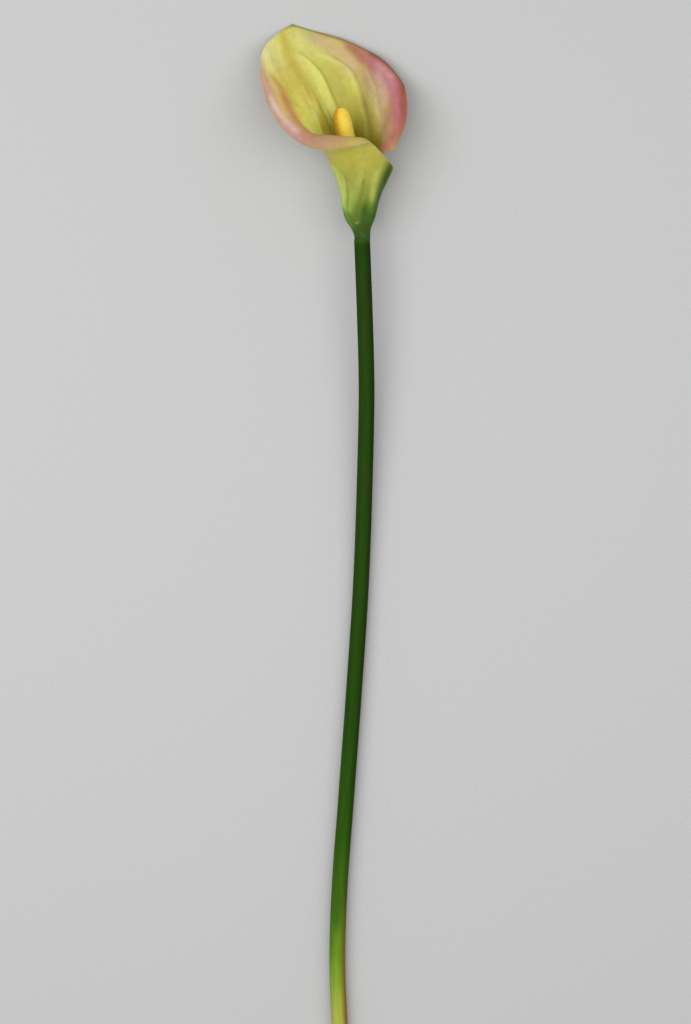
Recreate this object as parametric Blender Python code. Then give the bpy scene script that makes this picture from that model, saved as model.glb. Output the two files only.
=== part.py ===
# A cut calla lily, lying on a flat surface: a smooth stem, the rolled funnel-shaped bract that opens
# above it (the spathe), and the finger-like flower spike inside (the spadix).
#
# Every length in this file is in millimetres and is turned into metres when a mesh is made.
# The flower is drawn with +Y along the stem towards the bloom, +X to the right of someone who looks
# into its mouth, +Z out of the mouth, and the top of the stem at the origin. At the end the whole
# flower is moved, so that its box stands with the middle of its base on the world's origin.

from math import cos, pi, sin

import bmesh
import bpy
import numpy as np
from mathutils import Vector

MM = 0.001

# Stem
STEM_DIAMETER = 8.8
STEM_LENGTH = 452.0
STEM_FLAT_FROM = 200.0  # from here down to the cut the stem lies on the surface
STEM_SIDES = 16
STEM_RINGS = 46
STEM_BEND = [  # distance below the bloom, sideways place of the stem's middle
    (0, 0.0), (40, 1.5), (80, 2.5), (130, 1.6), (190, -0.6),
    (250, -4.5), (310, -8.9), (360, -12.5), (392, -13.6), (452, -11.5),
]
PEG_RADIUS = 2.7  # the stem's core goes on inside the bloom and carries the spadix
PEG_LENGTH = 7.0
PEG_SHOULDER = 0.02  # the step from the stem's rim in to the peg rises by this
SEAT_GAP = 0.3  # between neighbouring pieces

# Spadix
SPADIX_MIDDLE = [  # share of the length, and the middle's x, y, z
    (0.0, 0.0, PEG_LENGTH + SEAT_GAP, 0.0), (0.06, -0.1, 11.2, 0.1),
    (0.2, -2.0, 20.2, 0.4), (0.6, -7.2, 46.2, 1.6), (1.0, -12.1, 72.6, 3.0),
]
SPADIX_RADIUS = 5.1
SPADIX_SIDES = 20
SPADIX_OUTLINE = [  # share of the length, share of the radius
    (0.0, 0.5), (0.06, 0.6), (0.2, 0.76), (0.35, 0.9), (0.62, 1.0), (0.84, 0.97),
    (0.93, 0.87), (0.98, 0.6), (1.0, 0.14),
]

# Spathe: one strip of tissue wound about one and a half turns round the top of the stem. Its inner
# margin is hidden in the throat, its middle is the tall back with the pointed tip, and its outer
# margin crosses the front as a lip and ends behind the right side.
SPATHE_WALL = 1.0
BASE_WALL_SHARE = 0.35  # of the wall, at the very bottom, where the turns lie close together
NECK_HEIGHT = 12.0
FUNNEL_HEIGHT = 32.0
SHORT_LINE = 52.0  # a line that bends lower than this has its neck and funnel squeezed to fit
FUNNEL = [  # height, radius to the wall's middle, how much further out one turn on, middle x, z
    (0, 4.05, 0.9, 0.0, 0.0), (12, 6.5, 1.5, -1.65, 0.3),
    (21, 9.7, 2.4, -1.9, 0.6), (32, 13.3, 3.4, -1.0, 1.0),
]
MOUTH_MIDDLE = (-1.2, 1.0)  # x and z that the rim opens away from
TIP_TURN = -15
RIM = [
    # One row for each line that runs up the strip, from the outer margin back to the inner one.
    # turn: where the line starts at the bottom, in degrees round the stem. 0 is the back, 90 the
    #   right, -90 the left, -180 and 180 the front.
    # x, y, z: where the line bends over into the rim.
    # flare: how far it leans outwards there, and lean: how far at the funnel, in degrees.
    # roll, radius: the arc that the rim then rolls outwards through, in degrees, and its radius.
    # turn     x      y      z  flare lean roll radius
    (-330,   1.9,    7.4,  -4.8,   5,   5,   0, 3.0),
    (-305,   6.9,   21.8,  -5.8,  12,  12,   0, 3.0),
    (-285,  13.4,   33.4,  -3.5,  18,  16,   0, 3.0),
    (-274,  15.9,   37.5,   0.2,  22,  18,   0, 3.0),
    (-267,  16.9,   39.2,   3.5,  24,  18,   0, 2.8),
    (-260,  15.3,   41.3,   8.0,  26,  18,   4, 2.6),
    (-248,  11.9,   44.0,  15.0,  28,  18,  12, 2.4),
    (-231,   7.4,   47.8,  21.0,  32,  18,  45, 2.4),
    (-216,   3.4,   51.2,  24.0,  36,  16, 105, 2.6),
    (-202,  -2.1,   52.6,  26.5,  42,  14, 150, 3.5),
    (-187, -11.0,   52.8,  27.0,  46,  14, 165, 4.4),
    (-170, -22.9,   54.3,  25.5,  48,  17, 160, 5.0),
    (-150, -32.3,   60.0,  21.0,  50,  20, 135, 5.4),
    (-125, -39.8,   70.7,  14.0,  50,  20, 110, 6.2),
    (-97,  -45.9,   82.8,   6.0,  48,  18,  88, 6.2),
    (-70,  -51.0,   93.4,  -1.0,  40,  18,  48, 7.0),
    (-45,  -50.6,  104.5,  -8.0,  25,  20,  28, 8.0),
    (-27,  -45.4,  112.3, -13.0,  12,  20,  18, 8.0),
    (-15,  -38.2,  118.5, -16.0,   8,  20,  12, 8.0),
    (-7,   -28.1,  115.0, -16.0,   8,  20,  15, 8.0),
    (10,    -9.0,  108.6, -14.0,  10,  20,  16, 8.0),
    (32,     9.1,   98.2, -10.0,  18,  16,  24, 7.0),
    (54,    18.6,   86.2,  -5.0,  30,  10,  38, 6.0),
    (74,    20.2,   76.2,   1.0,  40,   4,  60, 4.6),
    (92,    18.2,   66.6,   5.0,  50,   0,  90, 4.4),
    (112,   14.2,   58.0,   8.0,  56,   0, 112, 4.8),
    (132,   11.0,   51.4,   9.5,  54,   0, 118, 4.6),
    (150,    8.0,   46.0,   8.5,  42,   0,  85, 3.4),
    (165,    4.4,   40.6,   9.0,  16,   0,  20, 3.0),
    (185,   -1.0,   31.0,  10.0,   6,   2,   0, 3.0),
    (215,   -5.5,   16.0,   5.5,   5,   4,   0, 3.0),
]
LINES_LEFT = 38  # lines from the outer margin to the tip
LINES_RIGHT = 26  # lines from the tip to the inner margin
ROWS = 22  # points on each line


def spline(table, at):
    """Smooth curve through the rows of a table, read at the values of its first column."""
    table = np.array(table, float)
    place, value = table[:, 0], table[:, 1:]
    step = np.diff(place)[:, None]
    slope = np.diff(value, axis=0) / step
    inner = (slope[:-1] * step[1:] + slope[1:] * step[:-1]) / (step[1:] + step[:-1])
    slope_at = np.vstack([slope[:1], inner, slope[-1:]])
    at = np.asarray(at, float)
    i = np.clip(np.searchsorted(place, at, side="right") - 1, 0, len(step) - 1)
    t = ((at - place[i]) / step[i, 0])[:, None]
    return hermite(value[i], slope_at[i], value[i + 1], slope_at[i + 1], step[i], t)


def hermite(start, start_slope, end, end_slope, length, t):
    """Cubic between two points with a given slope at each."""
    return (
        (1 + 2 * t) * (1 - t) ** 2 * start
        + t * (1 - t) ** 2 * length * start_slope
        + t * t * (3 - 2 * t) * end
        + t * t * (t - 1) * length * end_slope
    )


def read_rim(turn):
    """The rim's values at each turn. The two sides meet at the tip in a corner."""
    left = [row for row in RIM if row[0] <= TIP_TURN]
    right = [row for row in RIM if row[0] >= TIP_TURN]
    return np.where((turn < TIP_TURN)[:, None], spline(left, turn), spline(right, turn))


def funnel_points(height, turn, out):
    """Points of the strip at one level of the funnel, where out is each line's outward direction."""
    level = spline(FUNNEL, height)
    winding = (RIM[-1][0] - turn) / 360 - 1
    radius = level[:, 0] + level[:, 1] * winding
    middle = np.stack([level[:, 2], height, level[:, 3]], axis=1)
    return middle + out * radius[:, None]


def spathe_grid(turn):
    """Middle of the spathe's wall, as points[line, row, xyz]."""
    rim = read_rim(turn)
    bend = rim[:, :3]
    flare, lean, roll = (np.radians(rim[:, i])[:, None] for i in (3, 4, 5))
    roll = np.maximum(roll, 0)
    radius = rim[:, 6:7]
    angle = np.radians(turn)
    out = np.stack([np.sin(angle), np.zeros_like(angle), -np.cos(angle)], axis=1)
    up = np.array([0.0, 1.0, 0.0])

    rim_out = bend - [MOUTH_MIDDLE[0], 0, MOUTH_MIDDLE[1]]
    rim_out[:, 1] = 0
    rim_out /= np.linalg.norm(rim_out, axis=1)[:, None]
    along = up * np.cos(flare) + rim_out * np.sin(flare)
    across = rim_out * np.cos(flare) - up * np.sin(flare)

    squeeze = np.clip(bend[:, 1] / SHORT_LINE, 0, 1)
    levels = [h * squeeze for h in (0, NECK_HEIGHT, FUNNEL_HEIGHT)]
    knots = [funnel_points(h, turn, out) for h in levels] + [bend]
    spans = [np.linalg.norm(b - a, axis=1)[:, None] for a, b in zip(knots, knots[1:])]
    below, above = ((b - a) / n for a, b, n in zip(knots, knots[1:3], spans))
    slopes = [
        np.broadcast_to(up, bend.shape),
        (below * spans[1] + above * spans[0]) / (spans[0] + spans[1]),
        up * np.cos(lean) + out * np.sin(lean),
        along,
    ]
    starts = np.cumsum([0 * spans[0], *spans], axis=0)
    rows = []
    for share in np.linspace(0, 1, ROWS):
        way = share * (starts[3] + radius * roll)
        arc = np.maximum(way - starts[3], 0) / radius
        point = bend + radius * (across * (1 - np.cos(arc)) + along * np.sin(arc))
        for i in (2, 1, 0):
            t = (way - starts[i]) / spans[i]
            piece = hermite(knots[i], slopes[i], knots[i + 1], slopes[i + 1], spans[i], t)
            point = np.where(way < starts[i + 1], piece, point)
        rows.append(point)
    return np.stack(rows, axis=1)


def grid_mesh(name, points, closed=False):
    """Mesh of quads over points[line, row]. A closed grid joins its last line to its first."""
    lines, rows = points.shape[:2]
    mesh = bpy.data.meshes.new(name)
    edit = bmesh.new()
    made = [[edit.verts.new(Vector(p) * MM) for p in line] for line in points]
    for i in range(lines if closed else lines - 1):
        for j in range(rows - 1):
            here, beside = made[i], made[(i + 1) % lines]
            edit.faces.new((here[j], beside[j], beside[j + 1], here[j + 1]))
    if closed:
        edit.faces.new([line[0] for line in reversed(made)])
        edit.faces.new([line[-1] for line in made])
    edit.to_mesh(mesh)
    edit.free()
    mesh.shade_smooth()
    return mesh


def turned_tube(name, middle, radius, sides):
    """Closed tube whose rings lie across the path through the points of middle."""
    middle = np.asarray(middle, float)
    heading = np.gradient(middle, axis=0)
    heading /= np.linalg.norm(heading, axis=1)[:, None]
    side = np.cross(heading, [0, 0, 1.0])
    side /= np.linalg.norm(side, axis=1)[:, None]
    top = np.cross(side, heading)
    radius = np.asarray(radius, float)[:, None]
    lines = []
    for k in range(sides):
        angle = 2 * pi * k / sides
        lines.append(middle + radius * (side * sin(angle) + top * cos(angle)))
    return grid_mesh(name, np.stack(lines), closed=True)


def material(name, colour, roughness):
    made = bpy.data.materials.new(name)
    made.use_nodes = True
    shader = made.node_tree.nodes["Principled BSDF"]
    shader.inputs["Base Color"].default_value = (*colour, 1)
    shader.inputs["Roughness"].default_value = roughness
    shader.inputs["Metallic"].default_value = 0
    return made


def add(name, mesh, look):
    piece = bpy.data.objects.new(name, mesh)
    bpy.context.scene.collection.objects.link(piece)
    mesh.materials.append(look)
    return piece


def make_spathe():
    left = np.linspace(RIM[0][0], TIP_TURN, LINES_LEFT)
    right = np.linspace(TIP_TURN, RIM[-1][0], LINES_RIGHT)[1:]
    points = spathe_grid(np.concatenate([left, right]))
    points[:, :, 1] += SEAT_GAP
    mesh = grid_mesh("spathe", points)
    piece = add("spathe", mesh, material("spathe_flesh", (0.63, 0.57, 0.16), 0.5))

    wall = piece.vertex_groups.new(name="wall")
    for vertex in mesh.vertices:
        height = vertex.co.y / MM
        share = min(1.0, height / FUNNEL_HEIGHT)
        wall.add([vertex.index], share, "REPLACE")
    solid = piece.modifiers.new("wall", "SOLIDIFY")
    solid.thickness = SPATHE_WALL * MM
    solid.offset = 0
    solid.vertex_group = wall.name
    solid.thickness_vertex_group = BASE_WALL_SHARE
    return piece


def make_stem(axis_height):
    """Stem from its cut to the bloom, with the peg that carries the spadix."""
    radius = STEM_DIAMETER / 2
    below = np.linspace(STEM_LENGTH, 0, STEM_RINGS)
    sideways = spline(STEM_BEND, below)[:, 0]
    rise = np.clip(1 - below / STEM_FLAT_FROM, 0, 1)
    lift = radius + (axis_height - radius) * rise**2 * (3 - 2 * rise)
    path = np.stack([sideways, -below, lift - axis_height], axis=1)
    radii = np.full(STEM_RINGS, radius)
    peg = [[0, PEG_SHOULDER, 0], [0, PEG_LENGTH, 0]]
    path = np.vstack([path, peg])
    radii = np.append(radii, [PEG_RADIUS, PEG_RADIUS])
    mesh = turned_tube("stem", path, radii, STEM_SIDES)
    return add("stem", mesh, material("stem_skin", (0.03, 0.09, 0.01), 0.4))


def make_spadix():
    share, size = np.transpose(SPADIX_OUTLINE)
    path = spline(SPADIX_MIDDLE, share)
    mesh = turned_tube("spadix", path, size * SPADIX_RADIUS, SPADIX_SIDES)
    return add("spadix", mesh, material("spadix_grain", (0.75, 0.5, 0.04), 0.7))


def corners(pieces):
    """Lowest and highest corner of the pieces as they are drawn, modifiers included."""
    graph = bpy.context.evaluated_depsgraph_get()
    points = []
    for piece in pieces:
        drawn = piece.evaluated_get(graph).to_mesh()
        points += [piece.matrix_world @ v.co for v in drawn.vertices]
    return Vector(map(min, zip(*points))), Vector(map(max, zip(*points)))


def main():
    for thing in list(bpy.data.objects):
        bpy.data.objects.remove(thing, do_unlink=True)
    spathe = make_spathe()
    back, _ = corners([spathe])
    pieces = [spathe, make_stem(axis_height=-back.z / MM), make_spadix()]
    low, high = corners(pieces)
    for piece in pieces:
        piece.location = (-(low.x + high.x) / 2, -(low.y + high.y) / 2, -low.z)


main()
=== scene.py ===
from math import pi, sqrt

import bpy
import numpy as np
from mathutils import Matrix, Vector, kdtree, noise


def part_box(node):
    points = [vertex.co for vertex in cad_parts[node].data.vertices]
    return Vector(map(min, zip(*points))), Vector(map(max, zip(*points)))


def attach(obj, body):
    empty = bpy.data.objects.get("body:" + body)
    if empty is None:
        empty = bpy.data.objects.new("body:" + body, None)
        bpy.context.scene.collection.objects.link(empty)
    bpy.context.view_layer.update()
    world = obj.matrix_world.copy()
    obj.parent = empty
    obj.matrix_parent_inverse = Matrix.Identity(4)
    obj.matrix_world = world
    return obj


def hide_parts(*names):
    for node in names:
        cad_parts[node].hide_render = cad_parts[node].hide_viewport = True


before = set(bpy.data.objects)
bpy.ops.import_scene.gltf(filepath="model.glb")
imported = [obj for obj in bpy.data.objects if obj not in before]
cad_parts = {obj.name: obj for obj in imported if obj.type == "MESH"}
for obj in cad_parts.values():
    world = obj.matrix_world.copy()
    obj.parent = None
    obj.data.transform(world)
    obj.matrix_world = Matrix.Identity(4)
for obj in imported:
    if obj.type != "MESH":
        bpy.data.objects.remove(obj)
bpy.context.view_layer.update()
mm = 0.001  # sizes below are in millimetres unless a name says otherwise
print("frame loaded:", ", ".join(sorted(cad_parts)))


# small shared tools

def hermite(start, startSlope, end, endSlope, length, t):
    return (
        (1 + 2 * t) * (1 - t) ** 2 * start
        + t * (1 - t) ** 2 * length * startSlope
        + t * t * (3 - 2 * t) * end
        + t * t * (t - 1) * length * endSlope
    )


def smoothCurve(table, at):
    # smooth line through the rows of a table, read at values of its first column
    table = np.array(table, float)
    place, value = table[:, 0], table[:, 1:]
    step = np.diff(place)[:, None]
    slope = np.diff(value, axis=0) / step
    inner = (slope[:-1] * step[1:] + slope[1:] * step[:-1]) / (step[1:] + step[:-1])
    slopeAt = np.vstack([slope[:1], inner, slope[-1:]])
    at = np.asarray(at, float)
    i = np.clip(np.searchsorted(place, at, side="right") - 1, 0, len(step) - 1)
    t = ((at - place[i]) / step[i, 0])[..., None]
    return hermite(value[i], slopeAt[i], value[i + 1], slopeAt[i + 1], step[i], t)


def fadeIn(x, start, end):
    t = np.clip((x - start) / (end - start), 0, 1)
    return t * t * (3 - 2 * t)


def between(x, start, full, late, end):
    # fades in from start to full, and out again from late to end
    return fadeIn(x, start, full) * (1 - fadeIn(x, late, end))


def unit(v):
    return v / np.maximum(np.linalg.norm(v, axis=-1, keepdims=True), 1e-9)


def brightness(colour):
    # colours as they look on a screen, turned into the light they stand for
    c = np.array(colour, float)
    return np.where(c <= 0.04045, c / 12.92, ((np.maximum(c, 0) + 0.055) / 1.055) ** 2.4)


brush = {
    "seed": 7,
    "softEnd": 0.6,  # a stroke runs out more gently than it fades sideways
    "looseWidth": 4.0,  # a stroke as wide as this follows the drift fully
}


def wobble(points, size, strength):
    # smooth random drift, so that painted edges don't run like drawn lines
    noise.seed_set(brush["seed"])  # without it the drift would follow the clock
    drift = [noise.noise_vector(Vector(p) / size) for p in points.reshape(-1, 3)]
    return points + np.array(drift).reshape(points.shape) * strength


def brushed(still, drifted, path, width):
    # 1 on the path, fading to 0 away from it. The width may change from start to end, and a wide
    # stroke follows the drift while a fine line keeps its course
    start, end = width if isinstance(width, tuple) else (width, width)
    loose = min(1.0, (start + end) / 2 / brush["looseWidth"])
    x, y = (a + (b - a) * loose for a, b in zip(still, drifted))
    path = np.array(path, float)
    best = np.zeros_like(x)
    last = len(path) - 2
    for k, (a, b) in enumerate(zip(path, path[1:])):
        run = b - a
        length = sqrt(run @ run)
        along = ((x - a[0]) * run[0] + (y - a[1]) * run[1]) / length
        aside = ((x - a[0]) * run[1] - (y - a[1]) * run[0]) / length
        past = along - np.clip(along, 0, length)
        if k == 0:
            past = np.where(along < 0, past * brush["softEnd"], past)
        if k == last:
            past = np.where(along > length, past * brush["softEnd"], past)
        wide = start + (end - start) * (k + np.clip(along / length, 0, 1)) / (last + 1)
        best = np.maximum(best, np.exp(-(aside**2 + past**2) / wide**2))
    return best


def meshObject(name, points, faces, marks=None):
    # points in millimetres from the bloom's place; marks are per-point values for the materials
    mesh = bpy.data.meshes.new(name)
    mesh.from_pydata((points * mm).tolist(), [], faces)
    mesh.shade_smooth()
    for markName, values in (marks or {}).items():
        values = np.asarray(values, np.float32)
        kind, field = ("FLOAT_VECTOR", "vector") if values.ndim > 1 else ("FLOAT", "value")
        if markName == "paint":
            kind, field = "FLOAT_COLOR", "color"
            values = np.concatenate([brightness(values), np.ones((len(values), 1))], axis=1)
        mark = mesh.attributes.new(markName, kind, "POINT")
        mark.data.foreach_set(field, values.astype(np.float32).ravel())
    piece = bpy.data.objects.new(name, mesh)
    bpy.context.scene.collection.objects.link(piece)
    return piece


def gridFaces(lines, rows, first=0, flip=False, wrap=False):
    faces = []
    for i in range(lines if wrap else lines - 1):
        a = first + i * rows
        b = first + ((i + 1) % lines) * rows
        for j in range(rows - 1):
            face = (a + j, b + j, b + j + 1, a + j + 1)
            faces.append(face[::-1] if flip else face)
    return faces


# small tools for materials

def linear(colour):
    return tuple(brightness(colour)) + (1.0,)


class Recipe:
    # a material that is put together one node at a time
    def __init__(self, name, **shine):
        self.material = bpy.data.materials.new(name)
        self.material.use_nodes = True
        self.tree = self.material.node_tree
        self.shader = self.tree.nodes["Principled BSDF"]
        for socket, value in shine.items():
            self.shader.inputs[socket.replace("_", " ")].default_value = value

    def put(self, socket, value):
        if hasattr(value, "links"):
            self.tree.links.new(value, socket)
        else:
            socket.default_value = value

    def node(self, kind, inputs=None, output=0, **settings):
        made = self.tree.nodes.new(kind)
        for key, value in settings.items():
            setattr(made, key, value)
        for key, value in (inputs or {}).items():
            self.put(made.inputs[key], value)
        return made.outputs[output]

    def mark(self, name, kind="Fac"):
        return self.node("ShaderNodeAttribute", output=kind, attribute_name=name)

    def place(self):
        return self.node("ShaderNodeTexCoord", output="Object")

    def sum(self, a, b):
        return self.node("ShaderNodeMath", {0: a, 1: b}, operation="ADD")

    def product(self, a, b):
        return self.node("ShaderNodeMath", {0: a, 1: b}, operation="MULTIPLY")

    def scaled(self, vector, by):
        return self.node("ShaderNodeVectorMath", {0: vector, 1: by}, operation="MULTIPLY")

    def noise(self, vector, scale, detail=3.0, rough=0.55):
        values = {"Vector": vector, "Scale": scale, "Detail": detail, "Roughness": rough}
        return self.node("ShaderNodeTexNoise", values)

    def ramp(self, value, stops):
        made = self.tree.nodes.new("ShaderNodeValToRGB")
        elements = made.color_ramp.elements
        while len(elements) < len(stops):
            elements.new(0.5)
        for element, (place, colour) in zip(elements, stops):
            element.position = place
            element.color = linear(colour)
        self.put(made.inputs[0], value)
        return made.outputs[0]

    def mix(self, share, a, b, blend="MIX"):
        # sockets 6 and 7 take this node's two colours, and output 2 gives the mixed one
        made = self.tree.nodes.new("ShaderNodeMix")
        made.data_type = "RGBA"
        made.blend_type = blend
        made.clamp_factor = True
        self.put(made.inputs[0], share)
        self.put(made.inputs[6], a if hasattr(a, "links") else linear(a))
        self.put(made.inputs[7], b if hasattr(b, "links") else linear(b))
        return made.outputs[2]

    def range(self, value, low, high, newLow=0.0, newHigh=1.0):
        # low to high becomes newLow to newHigh, with soft ends
        return self.node(
            "ShaderNodeMapRange",
            {0: value, 1: low, 2: high, 3: newLow, 4: newHigh},
            interpolation_type="SMOOTHSTEP",
        )

    def bump(self, height, distance, strength=1.0, under=None):
        inputs = {"Height": height, "Distance": distance, "Strength": strength}
        if under is not None:
            inputs["Normal"] = under
        return self.node("ShaderNodeBump", inputs)

    def finish(self, colour, roughness, normal):
        self.put(self.shader.inputs["Base Color"], colour)
        self.put(self.shader.inputs["Roughness"], roughness)
        self.put(self.shader.inputs["Normal"], normal)
        return self.material


# spathe: the rolled strip that makes the funnel, the lip, the flap and the tall back

spathe = {
    "wall": 0.85,
    "marginWall": 0.4,
    "marginWidth": 5.0,
    "baseWallShare": 0.4,
    "neckHeight": 12.0,
    "funnelHeight": 32.0,
    "shortLine": 52.0,
    "mouthMiddle": (-1.2, 1.0),
    "tipTurn": -15,
    "lines": 330,
    "rows": 136,
    "coarseLines": 1091,
    "evenStep": 0.12,
    "beadShare": 0.4,
    "crestWidth": 0.3,
    "foldStart": (-3, 6),
    "foldEnd": (-9, 0),
    "pleatTurns": (-75, -45, 95, 120),
    "pleatRim": (4, 14),
    "ribTurns": (-100, -82),
    "ribRim": (1, 6),
    "waves": [(0.5, 5.3, 0), (0.35, 11.7, 40)],  # height, how quickly they follow, start
    "waveTurns": (-240, -215, 130, 150),
    "waveShare": (0.72, 1.0),
    "vein": {"count": 60, "widest": 0.97, "bend": 0.8, "midribRise": 3, "midribStart": 0.2},
    "sidesApart": 3,
    "funnel": [  # height, radius, how much further out one turn on, middle x, middle z
        (0, 4.05, 0.9, 0.0, 0.0), (12, 6.5, 1.5, -1.65, 0.3),
        (21, 9.7, 2.4, -1.9, 0.6), (32, 13.3, 3.4, -1.0, 1.0),
    ],
    "rim": [  # turn round the stem, bend x, y, z, flare, lean, roll, roll's radius
        (-330, 1.9, 7.4, -4.8, 5, 5, 0, 3.0),
        (-305, 6.9, 21.8, -5.8, 12, 12, 0, 3.0),
        (-285, 13.4, 33.4, -3.5, 18, 16, 0, 3.0),
        (-274, 15.9, 37.5, 0.2, 22, 18, 0, 3.0),
        (-267, 16.9, 39.2, 3.5, 24, 18, 0, 2.8),
        (-260, 15.3, 41.3, 8.0, 26, 18, 4, 2.6),
        (-248, 11.9, 44.0, 15.0, 28, 18, 12, 2.4),
        (-231, 7.4, 47.8, 21.0, 32, 18, 45, 2.4),
        (-216, 3.4, 51.2, 24.0, 36, 16, 105, 2.6),
        (-202, -2.1, 52.6, 26.5, 42, 14, 150, 3.5),
        (-187, -11.0, 52.8, 27.0, 46, 14, 165, 4.4),
        (-170, -22.9, 54.3, 25.5, 48, 17, 160, 5.0),
        (-150, -32.3, 60.0, 21.0, 50, 20, 135, 5.4),
        (-125, -39.8, 70.7, 14.0, 50, 20, 110, 6.2),
        (-97, -45.9, 82.8, 6.0, 48, 18, 88, 6.2),
        (-70, -51.0, 93.4, -1.0, 40, 18, 48, 7.0),
        (-45, -50.6, 104.5, -8.0, 25, 20, 28, 8.0),
        (-27, -45.4, 112.3, -13.0, 12, 20, 18, 8.0),
        (-15, -38.2, 118.5, -16.0, 8, 20, 12, 8.0),
        (-7, -28.1, 115.0, -16.0, 8, 20, 15, 8.0),
        (10, -9.0, 108.6, -14.0, 10, 20, 16, 8.0),
        (32, 9.1, 98.2, -10.0, 18, 16, 24, 7.0),
        (54, 18.6, 86.2, -5.0, 30, 10, 38, 6.0),
        (74, 20.2, 76.2, 1.0, 40, 4, 60, 4.6),
        (92, 18.2, 66.6, 5.0, 50, 0, 90, 4.4),
        (112, 14.2, 58.0, 8.0, 56, 0, 112, 4.8),
        (132, 11.0, 51.4, 9.5, 54, 0, 118, 4.6),
        (150, 8.0, 46.0, 8.5, 42, 0, 85, 3.4),
        (165, 4.4, 40.6, 9.0, 16, 0, 20, 3.0),
        (185, -1.0, 31.0, 10.0, 6, 2, 0, 3.0),
        (215, -5.5, 16.0, 5.5, 5, 4, 0, 3.0),
    ],
    "pleats": [  # folds on the inside: the crest's x and y, its height, and its width on each side, then how much painted light brightens the paint before the crest and painted shade darkens it behind
        # then how much the paint lightens before the crest and darkens behind it
        {"crest": [(-28, 81), (-26.8, 77), (-24.8, 71.5), (-22.4, 66), (-19.8, 60), (-17, 45)],
         "height": 2.2, "left": 7.0, "right": 2.0, "glow": 0.3, "shade": 0.7, "reach": 2.6},
        {"crest": [(-37.5, 105), (-33.5, 100.5), (-28.6, 96.3), (-24, 91), (-20.6, 85), (-17.7, 78),
                   (-14.9, 71.5), (-10, 57)],
         "height": 1.8, "left": 7.5, "right": 2.2, "glow": 0.5, "shade": 0.55, "reach": 6.0},
        {"crest": [(-24.5, 104), (-17.4, 99.6), (-11.6, 96), (-7.2, 92.3), (-4.3, 87.6), (-2.1, 82),
                   (-0.4, 75), (1.3, 68), (2.8, 60), (4.4, 45)],
         "height": 2.0, "left": 8.5, "right": 2.0, "glow": 0.35, "shade": 0.42, "reach": 5.5},
        {"crest": [(-3, 101), (-0.8, 96.5), (2.8, 91.5), (5.1, 86.6), (6.8, 82), (8.2, 75),
                   (9, 64)],
         "height": 1.3, "left": 6.0, "right": 2.2, "glow": 0.0, "shade": 0.12, "reach": 3.0},
    ],
    "ribs": [  # ridges on the outside of the funnel's front
        {"crest": [(-18, 43), (-13.5, 38.5), (-10.8, 35.8), (-9.3, 32), (-8.7, 23), (-8.8, 17),
                   (-7, 8)],
         "height": 1.3, "left": 3.6, "right": 2.4},
        {"crest": [(2, 42), (-0.5, 32), (-1.7, 23.6), (-4.6, 16.5), (-6.2, 10.4), (-4.1, 2.7)],
         "height": 0.7, "left": 4.5, "right": 2.4},
        {"crest": [(14, 43), (11.5, 39), (9.6, 36), (7.4, 29.5), (6.0, 22), (5.2, 14), (4, 6)],
         "height": 1.5, "left": 4.0, "right": 4.0},
    ],
    "blush": [  # turn, how wide the rosy band along the margin is, how strong
        (-330, 3, 0.0), (-240, 3, 0.0), (-222, 5, 0.12), (-205, 8, 0.38), (-187, 12, 0.72),
        (-160, 14, 0.9), (-125, 15, 0.92), (-97, 14, 0.8), (-78, 11, 0.55), (-62, 8, 0.2),
        (-48, 6, 0.0), (-8, 3, 0.0), (2, 3.5, 0.35), (16, 6, 0.6), (32, 14, 0.85),
        (52, 22, 1.0), (75, 24, 1.0), (96, 22, 1.0), (118, 16, 0.95), (140, 12, 0.9),
        (165, 8, 0.6), (190, 5, 0.2), (215, 3, 0.0),
    ],
}


def readRim(turn):
    tip = spathe["tipTurn"]
    left = [row for row in spathe["rim"] if row[0] <= tip]
    right = [row for row in spathe["rim"] if row[0] >= tip]
    return np.where((turn < tip)[:, None], smoothCurve(left, turn), smoothCurve(right, turn))


def lineTurns():
    # lines stand closer together where the rim is longer
    coarse = np.linspace(spathe["rim"][0][0], spathe["rim"][-1][0], spathe["coarseLines"])
    walk = np.linalg.norm(np.diff(readRim(coarse)[:, :3], axis=0), axis=1)
    place = np.concatenate([[0], np.cumsum(walk + spathe["evenStep"])])
    turns = np.interp(np.linspace(0, place[-1], spathe["lines"]), place, coarse)
    turns[np.abs(turns - spathe["tipTurn"]).argmin()] = spathe["tipTurn"]
    return turns


def funnelPoints(height, turn, out):
    level = smoothCurve(spathe["funnel"], height)
    winding = (spathe["rim"][-1][0] - turn) / 360 - 1
    radius = level[:, 0] + level[:, 1] * winding
    middle = np.stack([level[:, 2], height, level[:, 3]], axis=1)
    return middle + out * radius[:, None]


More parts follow.
